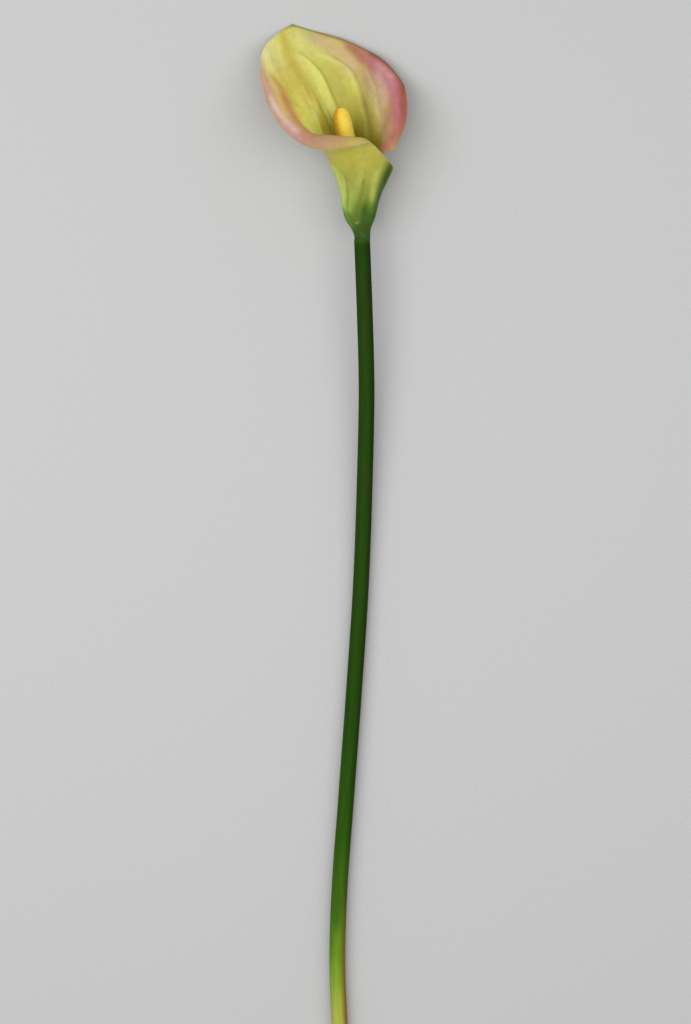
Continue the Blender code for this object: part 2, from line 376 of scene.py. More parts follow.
def spatheSheet(turn):
    # middle of the wall as points[line, row, xyz], and how far each lies from the bottom
    rim = readRim(turn)
    bend = rim[:, :3]
    flare, lean, roll = (np.radians(rim[:, i])[:, None] for i in (3, 4, 5))
    roll = np.maximum(roll, 0)
    radius = rim[:, 6:7]
    angle = np.radians(turn)
    out = np.stack([np.sin(angle), np.zeros_like(angle), -np.cos(angle)], axis=1)
    up = np.array([0.0, 1.0, 0.0])
    rimOut = bend - [spathe["mouthMiddle"][0], 0, spathe["mouthMiddle"][1]]
    rimOut[:, 1] = 0
    rimOut = unit(rimOut)
    along = up * np.cos(flare) + rimOut * np.sin(flare)
    across = rimOut * np.cos(flare) - up * np.sin(flare)

    squeeze = np.clip(bend[:, 1] / spathe["shortLine"], 0, 1)
    levels = [h * squeeze for h in (0, spathe["neckHeight"], spathe["funnelHeight"])]
    knots = [funnelPoints(h, turn, out) for h in levels] + [bend]
    spans = [np.linalg.norm(b - a, axis=1)[:, None] for a, b in zip(knots, knots[1:])]
    below, above = ((b - a) / n for a, b, n in zip(knots, knots[1:3], spans))
    slopes = [
        np.broadcast_to(up, bend.shape),
        (below * spans[1] + above * spans[0]) / (spans[0] + spans[1]),
        up * np.cos(lean) + out * np.sin(lean),
        along,
    ]
    starts = np.cumsum([0 * spans[0], *spans], axis=0)
    full = starts[3] + radius * roll
    rows, ways = [], []
    for share in np.linspace(0, 1, spathe["rows"]):
        way = share * full
        arc = np.maximum(way - starts[3], 0) / radius
        point = bend + radius * (across * (1 - np.cos(arc)) + along * np.sin(arc))
        for i in (2, 1, 0):
            t = (way - starts[i]) / spans[i]
            piece = hermite(knots[i], slopes[i], knots[i + 1], slopes[i + 1], spans[i], t)
            point = np.where(way < starts[i + 1], piece, point)
        rows.append(point)
        ways.append(way[:, 0])
    return np.stack(rows, axis=1), np.stack(ways, axis=1)


def sheetNormal(points):
    # towards the inside of the bloom
    return unit(np.cross(np.gradient(points, axis=0), np.gradient(points, axis=1)))


eye = {
    "height": 2816,
    "over": (-9.1, -149.9),  # the place it looks straight down on
    "drawnAt": (-9.1, -150.7),  # where the paths of folds and strokes have that place
}


def asSeen(points):
    # x and y of each point as they look from above the middle of the stem
    closer = 1 + points[..., 2] / eye["height"]
    return tuple(
        (points[..., i] - eye["over"][i]) * closer + eye["drawnAt"][i] for i in (0, 1)
    )


def besideFold(points, fold):
    # how far each point lies to the right of a fold's crest, and 1 along the fold, fading out
    # at its ends
    crest = np.array(sorted((y, x) for x, y in fold["crest"]), float)
    x, y = asSeen(points)
    low, high = crest[0, 0], crest[-1, 0]
    aside = x - smoothCurve(crest, np.clip(y, low, high))[..., 0]
    starts = [low + step for step in spathe["foldStart"]]
    ends = [high + step for step in spathe["foldEnd"]]
    return aside, between(y, *starts, *ends)


def foldHeight(points, fold):
    # how far a fold lifts each point: it swells gently up to its crest and drops steeply behind it
    aside, ends = besideFold(points, fold)
    lift = between(aside, -fold["left"], spathe["crestWidth"], 0, fold["right"])
    return fold["height"] * lift * ends


def spatheMiddle(turn):
    points, way = spatheSheet(turn)
    normal = sheetNormal(points)
    share = np.linspace(0, 1, spathe["rows"])[None, :]
    line = turn[:, None]
    toRim = way[:, -1:] - way

    inside = between(line, *spathe["pleatTurns"]) * fadeIn(toRim, *spathe["pleatRim"])
    front = 1 - fadeIn(line, *spathe["ribTurns"])
    lift = sum(foldHeight(points, fold) for fold in spathe["pleats"]) * inside
    ribs = sum(foldHeight(points, fold) for fold in spathe["ribs"])
    lift = lift - ribs * front * fadeIn(toRim, *spathe["ribRim"])
    # slow waves along the margin, so that it isn't ruled
    wave = sum(
        high * np.sin(np.radians(line * pace + start)) for high, pace, start in spathe["waves"]
    )
    wavy = fadeIn(share, *spathe["waveShare"]) * between(line, *spathe["waveTurns"])
    return points + normal * (lift + wave * wavy)[..., None], way


def veinNumber(turn, share):
    # veins run up beside the midrib and bend out to the margin one after another
    vein = spathe["vein"]
    side = (turn - spathe["tipTurn"]) / 180
    off = np.abs(side)
    fan = (1 - np.clip(off, 0, vein["widest"])) * (1 - share) ** vein["bend"]
    number = np.sign(side) * off / (off + fan + 1e-6)
    return number * np.clip(off * vein["midribRise"] + vein["midribStart"], 0, 1) * vein["count"]


def makeSpathe():
    turn = lineTurns()
    points, way = spatheMiddle(turn)
    lines, rows = points.shape[:2]
    normal = sheetNormal(points)
    toTop = way[:, -1:] - way
    sideways = np.linalg.norm(np.diff(points, axis=0), axis=2)
    fromLeft = np.concatenate([np.zeros((1, rows)), np.cumsum(sideways, axis=0)])
    toSide = np.minimum(fromLeft, fromLeft[-1:] - fromLeft)
    toEdge = np.minimum(toTop, toSide)
    thicker = (spathe["wall"] - spathe["marginWall"]) * fadeIn(toEdge, 0, spathe["marginWidth"])
    wall = spathe["marginWall"] + thicker
    base = spathe["baseWallShare"]
    wall = wall * (base + (1 - base) * fadeIn(points[..., 1], 0, spathe["funnelHeight"]))
    half = normal * wall[..., None] / 2
    inner, outer = points + half, points - half

    # a bead of extra points closes the margin in a round edge
    reach = spathe["beadShare"]
    upward = unit(points[:, -1] - points[:, -2]) * wall[:, -1:] * reach
    first = unit(points[0] - points[1]) * wall[0][:, None] * reach
    last = unit(points[-1] - points[-2]) * wall[-1][:, None] * reach
    bead = np.concatenate(
        [points[0] + first, (points[:, -1] + upward)[1:-1], (points[-1] + last)[::-1]]
    )
    border = [(0, j) for j in range(rows)] + [(i, rows - 1) for i in range(1, lines - 1)]
    border += [(lines - 1, j) for j in range(rows - 1, -1, -1)]
    count = lines * rows
    faces = gridFaces(lines, rows) + gridFaces(lines, rows, first=count, flip=True)
    loop = [i * rows + j for i, j in border]
    for k in range(len(loop) - 1):
        a, b = loop[k], loop[k + 1]
        m, n = 2 * count + k, 2 * count + k + 1
        faces.append((a, b, n, m))
        faces.append((m, n, b + count, a + count))
    for i in range(lines - 1):
        a, b = i * rows, (i + 1) * rows
        faces.append((a, a + count, b + count, b))
    a, b = 2 * count, 2 * count + len(loop) - 1
    faces.append((0, a, count))
    faces.append(((lines - 1) * rows, (lines - 1) * rows + count, b))

    bi, bj = np.transpose(border)
    share = np.linspace(0, 1, rows)[None, :] + 0 * toEdge
    line = turn[:, None] + 0 * toEdge

    def spread(values):
        return np.concatenate([values.ravel(), values.ravel(), values[bi, bj]])

    side = np.concatenate([np.ones(count), np.zeros(count), np.full(len(border), 0.5)])
    inside, outside = paintedSpathe(points, line, way)
    coats = (inside, outside, inside[bi, bj])
    marks = {
        "paint": np.concatenate([coat.reshape(-1, 3) for coat in coats]),
        "grain": np.stack(
            [spread(veinNumber(line, share)), spread(way), side * spathe["sidesApart"]], axis=1
        ),
    }
    solid = np.concatenate([inner.reshape(-1, 3), outer.reshape(-1, 3), bead])
    return meshObject("spathe_skin", solid, faces, marks), solid


# spadix

spadix = {
    "middle": [  # share of the length, and the middle's x, y, z
        (0.0, 0.0, 7.3, 0.0), (0.06, -0.1, 11.2, 0.1),
        (0.2, -2.0, 20.2, 0.4), (0.6, -7.2, 46.2, 1.6), (1.0, -12.1, 72.6, 3.0),
    ],
    "outline": [  # share of the length, share of the radius
        (0.0, 0.5), (0.06, 0.6), (0.2, 0.76), (0.35, 0.9), (0.62, 1.0), (0.84, 1.0),
        (0.92, 0.92), (0.97, 0.7), (0.992, 0.4), (1.0, 0.06),
    ],
    "radius": 4.75,
    "grainSpacing": 0.95,
    "grainHeight": 0.3,
    "grainSizes": (0.75, 1.15),
    "grainPacking": 0.87,
    "grainReach": 0.62,
    "toneStep": 0.618,
    "smoothTip": (0.93, 0.985),  # the flowers flatten out over this share of the length
    "seed": 7,
    "sides": 150,
    "rings": 330,
}


def makeSpadix():
    even = np.linspace(0, 1, spadix["rings"])
    share = (even + np.sin(even * pi / 2)) / 2  # rings stand closer together towards the tip
    middle = smoothCurve(spadix["middle"], share)
    radius = smoothCurve(spadix["outline"], share)[:, 0] * spadix["radius"]
    heading = unit(np.gradient(middle, axis=0))
    side = unit(np.cross(heading, [0, 0, 1.0]))
    top = np.cross(side, heading)
    angle = np.linspace(0, 2 * pi, spadix["sides"], endpoint=False)[:, None, None]
    outward = side[None] * np.sin(angle) + top[None] * np.cos(angle)
    smooth = middle[None] + outward * radius[None, :, None]

    # the tiny flowers sit in a spiral, each one a golden angle on from the last
    length = np.linalg.norm(middle[-1] - middle[0])
    area = np.concatenate([[0], np.cumsum(2 * pi * radius[:-1] * np.diff(share) * length)])
    count = int(area[-1] / (spadix["grainSpacing"] ** 2 * spadix["grainPacking"]))
    golden = pi * (3 - sqrt(5))
    seats = kdtree.KDTree(count)
    random = np.random.default_rng(spadix["seed"])
    size = random.uniform(*spadix["grainSizes"], count)
    for k in range(count):
        at = np.interp((k + 0.5) / count * area[-1], area, share)
        i = int(np.interp(at, share, np.arange(len(share))))
        turn = k * golden
        seat = middle[i] + radius[i] * (side[i] * np.sin(turn) + top[i] * np.cos(turn))
        seats.insert(seat, k)
    seats.balance()
    reach = spadix["grainSpacing"] * spadix["grainReach"]
    lift = np.zeros(smooth.shape[:2])
    tone = np.zeros(smooth.shape[:2])
    for i in range(smooth.shape[0]):
        for j in range(smooth.shape[1]):
            _, k, gap = seats.find(smooth[i, j])
            lift[i, j] = size[k] * sqrt(max(0.0, 1 - (gap / reach) ** 2))
            tone[i, j] = (k * spadix["toneStep"]) % 1
    bulge = lift * spadix["grainHeight"] * (1 - fadeIn(share, *spadix["smoothTip"]))
    points = smooth + outward * bulge[..., None]
    lines, rows = points.shape[:2]
    faces = gridFaces(lines, rows, wrap=True)
    faces.append([i * rows for i in range(lines)][::-1])
    faces.append([i * rows + rows - 1 for i in range(lines)])
    marks = {
        "along": (share[None] + 0 * lift).ravel(), "dome": lift.ravel(), "tone": tone.ravel(),
        # how far each point faces left, for the painted shade on that side
        "left": (-outward[..., 0]).ravel(),
    }
    return meshObject("spadix_spike", points.reshape(-1, 3), faces, marks)


# stem

stem = {
    "radius": 4.4,
    "length": 452.0,
    "flatFrom": 200.0,
    "bend": [  # distance below the bloom, sideways place of the middle
        (0, 0.0), (40, 1.5), (80, 2.5), (130, 1.6), (190, -0.6),
        (250, -4.5), (310, -8.9), (360, -12.5), (392, -13.6), (452, -11.5),
    ],
    "shoulder": (0.25, 0.1),  # height, and how much thinner than the stalk
    "peg": [(0.6, 2.9), (6.0, 2.6)],  # height and radius
    "cutRings": 26,
    "cutSpan": (0.97, 0.03),
    "cutDome": 0.25,
    "ripple": 0.12,
    "rippleRate": 40,
    "sides": 96,
    "rings": 420,
}


def makeStem(axisHeight):
    radius = stem["radius"]
    below = np.linspace(stem["length"], 0, stem["rings"])
    sideways = smoothCurve(stem["bend"], below)[:, 0]
    rise = np.clip(1 - below / stem["flatFrom"], 0, 1)
    lift = radius + (axisHeight - radius) * rise**2 * (3 - 2 * rise)
    middle = np.stack([sideways, -below, lift - axisHeight], axis=1)
    radii = np.full(len(below), radius)
    # a rounded shoulder, and the peg that goes up inside the spathe
    step, inset = stem["shoulder"]
    tops = [(step, radius - inset)] + stem["peg"]
    middle = np.vstack([middle] + [[0, height, 0] for height, _ in tops])
    radii = np.append(radii, [thin for _, thin in tops])
    below = np.append(below, [0] * len(tops))
    heading = unit(np.gradient(middle, axis=0))
    side = unit(np.cross(heading, [0, 0, 1.0]))
    top = np.cross(side, heading)
    angle = np.linspace(0, 2 * pi, stem["sides"], endpoint=False)[:, None, None]
    outward = side[None] * np.sin(angle) + top[None] * np.cos(angle)
    points = middle[None] + outward * radii[None, :, None]

    # cut face: rings from the skin to the middle, with the soft core standing a little proud
    core = np.linspace(*stem["cutSpan"], stem["cutRings"])
    ripple = stem["ripple"] * np.cos(core * stem["rippleRate"])
    dish = stem["cutDome"] * np.sin(core * pi) ** 2 + ripple
    cutRings = []
    for share, bulge in zip(core, dish):
        ring = middle[0] + outward[:, 0] * radius * share - heading[0] * bulge * (1 - share**4)
        cutRings.append(ring)
    cut = np.stack(cutRings[::-1], axis=1)
    points = np.concatenate([cut, points], axis=1)
    lines, rows = points.shape[:2]
    faces = gridFaces(lines, rows, wrap=True)
    faces.append([i * rows for i in range(lines)][::-1])
    faces.append([i * rows + rows - 1 for i in range(lines)])
    down = np.concatenate([np.full(len(core), stem["length"]), below])
    across = np.concatenate([core[::-1], np.ones(len(below))])
    right = outward[..., 0]
    onCut = np.repeat(right[:, :1], len(core), axis=1)
    blank = np.zeros((lines, rows))
    grain = (np.cos(angle[:, 0]) * radius, np.sin(angle[:, 0]) * radius, down)
    marks = {
        "down": (blank + down).ravel(),
        "across": (blank + across).ravel(),
        "right": np.concatenate([onCut, right], axis=1).ravel(),
        "grain": np.stack([(blank + values).ravel() for values in grain], axis=1),
    }
    return meshObject("stem_stalk", points.reshape(-1, 3), faces, marks)


# materials

spathePaint = {
    "inside": [  # height above the neck, colour: darker towards the throat, partly its own greener colour and partly painted shade of the deep throat
        (0, 0.40, 0.42, 0.12), (45, 0.50, 0.49, 0.14), (60, 0.70, 0.67, 0.28),
        (75, 0.82, 0.78, 0.40), (95, 0.86, 0.81, 0.44), (116, 0.88, 0.84, 0.48),
    ],
    "outside": [
        (0, 0.17, 0.29, 0.07), (2.5, 0.21, 0.34, 0.09), (7, 0.24, 0.39, 0.11),
        (12, 0.31, 0.47, 0.15),
        (17, 0.45, 0.60, 0.24), (23, 0.60, 0.68, 0.32), (36, 0.67, 0.68, 0.31),
        (60, 0.72, 0.70, 0.38),
        (116, 0.76, 0.74, 0.42),
    ],
    "lip": (0.75, 0.62, 0.45),
    # painted light on the lit side of each inside fold, and painted shade behind its crest
    "glow": (0.93, 0.90, 0.50),
    "shade": (0.62, 0.58, 0.22),
    "blush": (0.76, 0.54, 0.42),
    # the margin line: its own green and brown, partly painted shade where the margin is seen
    # edge-on
    "rimLeft": (0.40, 0.46, 0.20),
    "rimRight": (0.40, 0.29, 0.22),
    "vein": (0.84, 0.87, 0.66),
    "cloud": (0.96, 0.86, 0.80),
    "top": 116,
    "drift": (9.0, 1.1),  # size and strength of the drift that wide strokes follow
    "uneven": 5,  # how far the outer colours creep up or down along the veins
    "unevenGrain": (11.0, 50.0, 8.0),  # across the veins, along them, seed
    "streaks": 0.15,
    "streakGrain": (3.0, 60.0, 3.0),
    "blushShare": 0.8,
    "blushFall": 1.5,
    "rimShare": 0.8,
    "fades": {  # where things begin or end: turns round the stem, or millimetres
        "unevenFrom": (6, 16), "lipTurns": (-150, -115), "lipHeight": (34, 46),
        "foldTurns": (-100, -70), "glowEdge": (-0.4, 0.9), "shadeEdge": (0.2, 1.5),
        "lipEnd": (-125, -100), "lipDepth": (12, 17), "leftEnd": (-62, -38),
        "rightStart": (-90, -60), "rollDepth": (10, 16), "frontEnd": (-130, -75),
        "marginTurns": (-32, -15, 55, 80), "marginWidth": (0.3, 1.3),
        "tipReach": (0.5, 4.0), "tipWidth": (0.5, 2.4), "brownTurns": (-10, 20),
    },
    # the rest are brush strokes: colour, strength, width, and a path of x and y
    # the inside's own tints, with painted light and painted shade among the strokes
    "insideTintsLightAndShade": [
        ((0.90, 0.86, 0.70), 0.6, 7, [(-54, 104), (-50, 97)]),
        ((0.90, 0.86, 0.50), 0.5, 4, [(-38, 113), (-34, 104), (-30, 98)]),
        # painted shade in the groove that runs down from the tip
        ((0.77, 0.67, 0.32), 0.75, (2.5, 4),
         [(-43.5, 110), (-41.5, 103), (-38, 95), (-33.5, 87), (-30, 80)]),
        # painted shade along the fold where the left roll turns in
        ((0.84, 0.76, 0.38), 0.5, 4, [(-47, 89), (-42, 80), (-37, 71)]),
        # painted light on the lower left of the inside
        ((0.98, 0.93, 0.52), 0.7, (4, 6), [(-36, 76), (-32, 67), (-28, 60)]),
        ((1.0, 1.0, 0.56), 0.95, (3, 6), [(-30, 67), (-27.4, 61), (-24, 55)]),
        # painted light on the lit side of a fold
        ((0.95, 0.90, 0.51), 0.65, (2, 3), [(-23.5, 84), (-20.8, 77), (-18.6, 71)]),
        # painted shade behind the same fold's crest
        ((0.71, 0.67, 0.34), 0.6, (4, 6), [(-15, 90), (-10, 80), (-6, 71), (-2, 76)]),
        # painted shade deep in the throat behind the spadix
        ((0.50, 0.48, 0.12), 0.75, 7, [(-12, 56), (0, 51), (6, 47)]),
        # painted shade beside the spadix
        ((0.54, 0.50, 0.20), 0.7, (3, 5), [(2.4, 75), (3.5, 68), (5, 60)]),
        # painted shade in the crease behind the lowest fold
        ((0.64, 0.61, 0.20), 0.6, (1.5, 2.4), [(-23, 67.5), (-20.6, 62.5), (-19, 57)]),
        # a thin pale line down the midrib, with a painted highlight along it
        ((1.0, 0.97, 0.74), 0.4, 0.55, [(-33, 83), (-29, 74), (-25.7, 66.6), (-22.4, 57)]),
    ],
    "lipBlush": [
        ((0.65, 0.51, 0.46), 0.95, 5.4, [(-35, 55.6), (-26, 53.4), (-16, 51)]),
        ((0.72, 0.59, 0.43), 0.8, 3.2, [(-14, 51.5), (-8, 52.4)]),
        ((0.69, 0.63, 0.37), 0.85, 2.4, [(-6, 53.6), (-1, 54), (4, 52.6)]),
    ],
    # the left roll's own blush, with painted shade where it turns in and a painted highlight on its
    # crest
    "leftBlushShadeAndHighlight": [
        # painted shade along the fold where the roll turns in
        ((0.79, 0.62, 0.42), 0.7, (1.8, 2.6), [(-48, 86), (-45, 80.4), (-41.6, 74.6)]),
        ((0.75, 0.56, 0.38), 0.85, (1.6, 2.4),
         [(-43.4, 76.6), (-38.8, 68), (-35.6, 61.4), (-31, 57.4)]),
        ((0.73, 0.58, 0.56), 0.85, (4, 4.4),
         [(-59, 93), (-58, 84), (-55, 74), (-49, 64.5), (-41, 57)]),
        ((0.66, 0.54, 0.60), 0.9, (3, 3), [(-57, 95), (-56.5, 88), (-54, 80)]),
        ((0.68, 0.49, 0.51), 0.9, (2.6, 3.4),
         [(-54.5, 81), (-51.5, 73), (-46.5, 64.5), (-40, 58), (-34, 53.5)]),
        ((0.74, 0.57, 0.54), 0.8, (2.4, 3.2), [(-54, 89), (-51, 80), (-47.6, 73)]),
        # painted highlight along the roll's crest
        ((0.83, 0.73, 0.76), 0.7, (1.2, 2.1), [(-49.6, 76), (-46.2, 69.5), (-42, 64), (-37, 59.7)]),
    ],
    # the right side's own blush, with a painted highlight on the roll and painted shade under the
    # top rim
    "rightBlushShadeAndHighlight": [
        ((0.68, 0.46, 0.46), 0.9, (4, 6.4),
         [(2, 103), (10, 99), (18, 92), (23.5, 82), (25.5, 72), (24, 58)]),
        ((0.81, 0.69, 0.54), 0.9, (4, 6), [(-26, 110), (-18, 106), (-10, 101), (-5, 95)]),
        ((0.68, 0.43, 0.37), 0.95, (2.6, 5), [(-6, 104.6), (-1.5, 100.6), (4, 96.6), (7.4, 92.4)]),
        # a thin brown line under the top rim: partly the margin's own brown, partly painted shade
        # where it curls back
        ((0.66, 0.46, 0.35), 0.7, (0.7, 2), [(-25, 113), (-16, 110.6), (-6, 107), (0, 104)]),
        ((0.70, 0.61, 0.50), 0.9, (3.4, 5.5),
         [(3.4, 87), (5, 82), (8.6, 76), (12, 69), (13.4, 60)]),
        ((0.76, 0.71, 0.51), 0.45, 3, [(5.5, 76), (7, 70), (9, 64)]),
        ((0.68, 0.42, 0.51), 1.0, (4.6, 4.6),
         [(9.6, 95), (14.4, 88.5), (18, 81), (19.6, 73), (19.6, 66)]),
        ((0.75, 0.60, 0.60), 0.8, (3, 2.4), [(9.5, 89), (11, 84), (12.6, 78)]),
        # painted highlight along the right roll
        ((0.80, 0.60, 0.64), 0.3, 2, [(15, 88), (17, 83), (18.4, 76), (19.4, 70)]),
        ((0.80, 0.63, 0.62), 0.6, 2.2, [(10.5, 95), (15.5, 90)]),
        ((0.55, 0.25, 0.31), 1.0, (1.3, 2.8),
         [(6, 101), (14.4, 95.8), (20.4, 88.6), (23.2, 80), (24.2, 73)]),
    ],
    "rightRoll": [
        ((0.56, 0.28, 0.33), 0.95, (2.8, 3), [(24.2, 73), (23.8, 66), (21.6, 59)]),
        ((0.68, 0.45, 0.45), 0.95, (3, 4), [(18, 58), (16, 54.6), (14, 51), (12, 46.5)]),
    ],
    # the funnel's own greens, with painted light on ridge sides facing the lamps and painted shade
    # on the far sides
    "outsideTintsLightAndShade": [
        # painted light on the lit side of the left ridge
        ((0.76, 0.84, 0.46), 0.85, (1.4, 2.2), [(-17, 39), (-13.4, 35), (-11.2, 28), (-10.4, 19)]),
        # painted light on the left of the lower funnel
        ((0.64, 0.74, 0.36), 0.7, (2, 1.6), [(-7.6, 26), (-7.2, 20), (-6.6, 15.5)]),
        ((0.60, 0.58, 0.27), 0.6, 3.4, [(-6, 37), (-5, 28)]),
        # painted shade behind the middle ridge
        ((0.50, 0.51, 0.21), 0.7, (1.2, 2.6), [(1.2, 31), (-0.2, 25), (-1.8, 18), (-3, 12)]),
        ((0.50, 0.55, 0.21), 0.6, 2.4, [(3.4, 27), (2.8, 20)]),
        # painted highlight along the ridge at the flap's edge
        ((0.74, 0.74, 0.40), 0.6, 1.4, [(9.2, 37), (6.8, 30), (5.4, 22)]),
        # the flap's side that wraps round to the right: its own darker green, with painted shade
        ((0.20, 0.32, 0.02), 0.95, (2.4, 2.0),
         [(15.4, 39), (12.6, 33), (9.6, 24), (7.4, 14), (5.4, 5)]),
        # painted shade on the right of the neck
        ((0.24, 0.35, 0.06), 0.75, (2.8, 3.2), [(2, 15), (1.6, 9), (0.6, 3)]),
        # painted light on the lit side of a ridge on the neck
        ((0.38, 0.58, 0.19), 0.6, 1.5, [(-8.4, 13), (-6.8, 9), (-5.6, 5)]),
        # painted shade in a thin line behind the left ridge
        ((0.50, 0.53, 0.20), 0.55, (0.4, 0.9),
         [(-12.6, 37.4), (-9.8, 35), (-8.4, 32), (-7.8, 23), (-8.2, 18)]),
        ((0.62, 0.70, 0.50), 0.7, 0.5, [(-3, 8.3), (-2.3, 8.6)]),
    ],
}


def veinNoise(turn, way, across, along, seed):
    # drift that runs on up the veins and changes quickly across them
    spots = np.stack([turn / across, way / along, 0 * way + seed], axis=-1).reshape(-1, 3)
    return np.array([noise.noise(Vector(spot)) for spot in spots]).reshape(way.shape)


def paintedSpathe(points, turn, way):
    # colours of the inner and the outer side, with painted light and painted shade
    paint, fades = spathePaint, spathePaint["fades"]
    still, drifted = asSeen(points), asSeen(wobble(points, *paint["drift"]))
    y = still[1]
    toRim = way[:, -1:] - way
    inside = smoothCurve(paint["inside"], np.clip(y, 0, paint["top"]))
    uneven = paint["uneven"] * veinNoise(turn, way, *paint["unevenGrain"])
    rise = y + uneven * fadeIn(y, *fades["unevenFrom"])
    outside = smoothCurve(paint["outside"], np.clip(rise, 0, paint["top"]))

    def tint(side, colour, share):
        side += (np.array(colour) - side) * np.clip(share, 0, 1)[..., None]

    lipSide = 1 - fadeIn(turn, *fades["lipTurns"])
    tint(inside, paint["lip"], lipSide * fadeIn(y, *fades["lipHeight"]))
    edge, deep = fades["shadeEdge"]
    # painted light before each fold's crest and painted shade behind it
    for fold in spathe["pleats"]:
        aside, ends = besideFold(points, fold)
        ends = ends * fadeIn(turn, *fades["foldTurns"])
        before = np.exp(np.minimum(aside, 0) / fold["reach"])
        before = (1 - fadeIn(aside, *fades["glowEdge"])) * before
        behind = fadeIn(aside, edge, deep) * np.exp(-np.maximum(aside - deep, 0) / fold["reach"])
        tint(inside, paint["glow"], fold["glow"] * ends * before)
        tint(inside, paint["shade"], fold["shade"] * ends * behind)

    # the blush breaks up along the veins
    streaks = 1 + paint["streaks"] * veinNoise(turn, way, *paint["streakGrain"])
    onLip = (1 - fadeIn(turn, *fades["lipEnd"])) * (1 - fadeIn(toRim, *fades["lipDepth"]))
    onLeft = (1 - fadeIn(turn, *fades["leftEnd"])) * streaks
    onRight = fadeIn(turn, *fades["rightStart"]) * streaks
    onRoll = onRight * (1 - fadeIn(toRim, *fades["rollDepth"]))
    onFront = 1 - fadeIn(turn, *fades["frontEnd"])
    for side, name, where in (
        (inside, "insideTintsLightAndShade", 1 - onLip),
        (inside, "lipBlush", onLip),
        (inside, "leftBlushShadeAndHighlight", onLeft),
        (inside, "rightBlushShadeAndHighlight", onRight),
        (inside, "rightRoll", onRoll),
        (outside, "outsideTintsLightAndShade", onFront),
    ):
        for colour, strength, width, path in paint[name]:
            tint(side, colour, strength * where * brushed(still, drifted, path, width))
    band = smoothCurve(spathe["blush"], turn[:, 0])
    depth = np.clip(1 - toRim / np.maximum(band[:, :1], 1), 0, 1) ** paint["blushFall"]
    tint(outside, paint["blush"], paint["blushShare"] * depth * band[:, 1:2] * streaks)

    # a thin darker line along the margin, green at the tip and brown further on: partly the
    # margin's own colour, partly painted shade where the margin is seen edge-on
    tipLine = np.abs(turn[:, 0] - spathe["tipTurn"]).argmin()
    fromTip = np.linalg.norm(points - points[tipLine, -1], axis=2)
    margin = np.maximum(
        between(turn, *fades["marginTurns"]) * (1 - fadeIn(toRim, *fades["marginWidth"])),
        (1 - fadeIn(fromTip, *fades["tipReach"])) * (1 - fadeIn(toRim, *fades["tipWidth"])),
    )
    brown = fadeIn(turn, *fades["brownTurns"])[..., None]
    rim = (1 - brown) * np.array(paint["rimLeft"]) + brown * np.array(paint["rimRight"])
    for side in (inside, outside):
        side += (rim - side) * (paint["rimShare"] * margin)[..., None]
    return inside, outside


def spatheMaterial():
    look = Recipe(
        "spathe_flesh", Subsurface_Weight=0.85, Subsurface_Scale=0.005, Specular_IOR_Level=0.14
    )
    look.shader.inputs["Subsurface Radius"].default_value = (1.0, 0.75, 0.3)
    vein = spathePaint["vein"]
    grain = look.mark("grain", "Vector")
    streak = look.noise(look.scaled(grain, (1.0, 0.03, 1.0)), 2.2, 5.0, 0.6)
    place = look.place()
    mottle = look.noise(place, 260.0, 4.0)
    cloud = look.range(look.noise(place, 75.0), 0.35, 0.7, 0.0, 0.3)
    colour = look.mark("paint", "Color")
    colour = look.mix(look.range(streak, 0.4, 0.75, 0.0, 0.28), colour, vein, "MULTIPLY")
    colour = look.mix(cloud, colour, spathePaint["cloud"], "MULTIPLY")
    colour = look.mix(look.range(mottle, 0.35, 0.7, 0.0, 0.3), colour, vein, "MULTIPLY")
    fine = look.noise(look.scaled(grain, (1.0, 0.05, 1.0)), 5.0)
    normal = look.bump(fine, 0.00015, 0.35)
    normal = look.bump(mottle, 0.0001, 0.5, normal)
    rough = look.range(mottle, 0.3, 0.7, 0.44, 0.58)
    return look.finish(colour, rough, normal)


spadixPaint = {
    "gold": [  # from between the flowers to the top of each, and its colour: darker in the gaps as painted shade
        (0.0, (0.68, 0.48, 0.05)), (0.3, (0.88, 0.76, 0.20)), (1.0, (0.94, 0.87, 0.36)),
    ],
    # the same painted shade between the lower flowers
    "pale": [(0.0, (0.50, 0.50, 0.15)), (1.0, (0.78, 0.80, 0.40))],
    # painted shade on the spadix's left side
    "left": (0.73, 0.54, 0.02),
    "riper": (0.88, 0.67, 0.14),
    "speck": (0.64, 0.42, 0.05),
}


def spadixMaterial():
    look = Recipe(
        "spadix_grain", Subsurface_Weight=0.15, Subsurface_Scale=0.001, Specular_IOR_Level=0.3
    )
    dome, along, tone = look.mark("dome"), look.mark("along"), look.mark("tone")
    gold, pale = look.ramp(dome, spadixPaint["gold"]), look.ramp(dome, spadixPaint["pale"])
    colour = look.mix(look.range(along, 0.25, 0.4), pale, gold)
    # painted shade on the left side
    colour = look.mix(look.range(look.mark("left"), 0.0, 0.85), colour, spadixPaint["left"])
    colour = look.mix(look.range(tone, 0.6, 1.0, 0.0, 0.35), colour, spadixPaint["riper"])
    speck = look.noise(look.place(), 1500.0, 2.0)
    colour = look.mix(look.range(speck, 0.58, 0.72, 0.0, 0.6), colour, spadixPaint["speck"])
    rough = look.range(speck, 0.3, 0.7, 0.6, 0.8)
    return look.finish(colour, rough, look.bump(speck, 0.0001, 0.5))


stemPaint = {
    "skin": [  # from the top of the stem to the cut, and its colour
        (0.0, (0.125, 0.235, 0.02)), (0.6, (0.135, 0.265, 0.02)), (0.72, (0.17, 0.32, 0.03)),
        (0.81, (0.26, 0.40, 0.07)), (0.88, (0.42, 0.56, 0.14)), (0.94, (0.58, 0.64, 0.24)),
        (1.0, (0.68, 0.68, 0.32)),
    ],
    # painted shade on the stem's right side, away from the lamps
    "paintedShadeRight": (0.80, 0.66, 0.60),
    "neck": (0.20, 0.32, 0.08),
    "red": (0.55, 0.38, 0.14),
    "fibre": (0.16, 0.30, 0.05),
    "fleck": (0.30, 0.42, 0.14),
    "pithWall": (0.45, 0.50, 0.22),
    "pithCell": (0.80, 0.84, 0.60),
    "redFrom": (330.0, 430.0),
    "neckTo": (3.5, 0.3),
}


